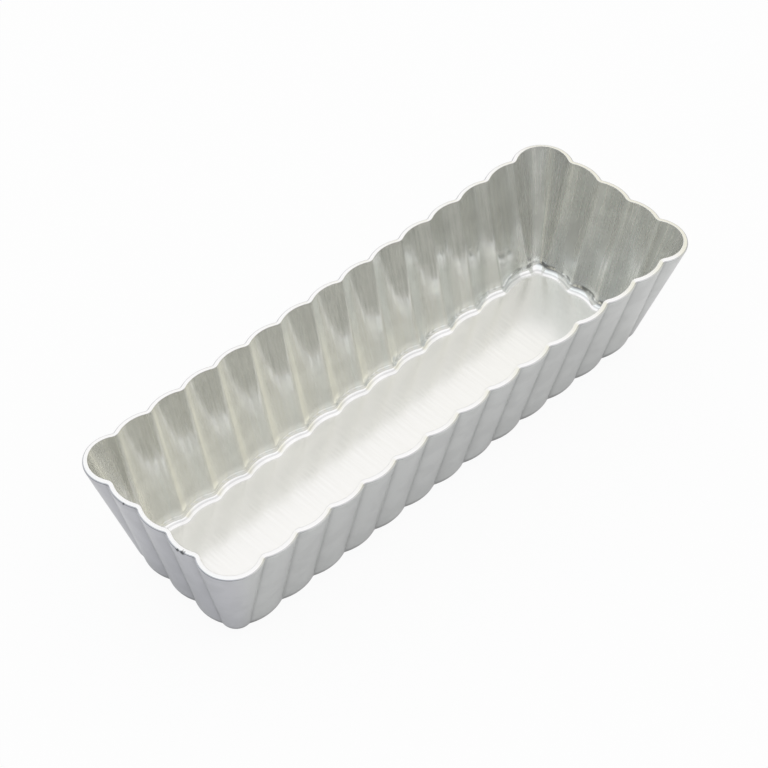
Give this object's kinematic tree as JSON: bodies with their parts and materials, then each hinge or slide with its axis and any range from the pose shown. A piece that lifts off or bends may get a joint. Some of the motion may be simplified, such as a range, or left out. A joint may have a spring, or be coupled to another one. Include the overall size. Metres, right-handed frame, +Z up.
{
  "type": "rectangular fluted tart mould",
  "caption": "Narrow rectangular baking mould drawn from one sheet: flat floor, flared fluted walls, lobed corners and a plain rim, open on top to hold pastry or batter.",
  "frame": {"origin": "centre of the underside of the floor, where the mould rests", "axes": "+X along the long walls, +Y across the mould, +Z up out of the open side"},
  "size_m": [0.1468, 0.0504, 0.0316],
  "materials": {
    "drawn_aluminium": "satin, brighter along the fillet and the rim"
  },
  "bodies": {
    "root": {"fluted_shell": "drawn_aluminium"}
  },
  "joints": []
}
